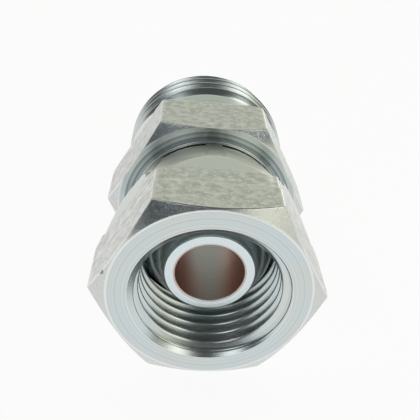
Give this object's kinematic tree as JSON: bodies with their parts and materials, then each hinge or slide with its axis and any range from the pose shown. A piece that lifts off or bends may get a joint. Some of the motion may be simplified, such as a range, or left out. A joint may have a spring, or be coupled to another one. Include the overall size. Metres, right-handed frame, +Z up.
{
  "type": "straight hydraulic fitting",
  "caption": "Straight hydraulic adaptor with a hexagon body, a male parallel stud thread and a crimped swivel nut over its coned nose.",
  "frame": {"origin": "centre of the swivel nut's mouth, on the axis of the fitting", "axes": "+Y along the axis from the nut's mouth towards the male stud, +Z up, square to two flats of each hexagon, so the fitting lies on the lower flats"},
  "size_m": [0.031, 0.0452, 0.027],
  "materials": {
    "nut_plating": "zinc plated",
    "body_plating": "zinc plated"
  },
  "bodies": {
    "body": {"adaptor_body": "body_plating"},
    "nut": {"swivel_nut": "nut_plating"}
  },
  "joints": [
    {"name": "nut_swivel", "type": "hinge", "parent": "body", "child": "nut", "pos_m": [0, 0.0133, 0], "axis": [0, 1, 0], "continuous": true}
  ]
}
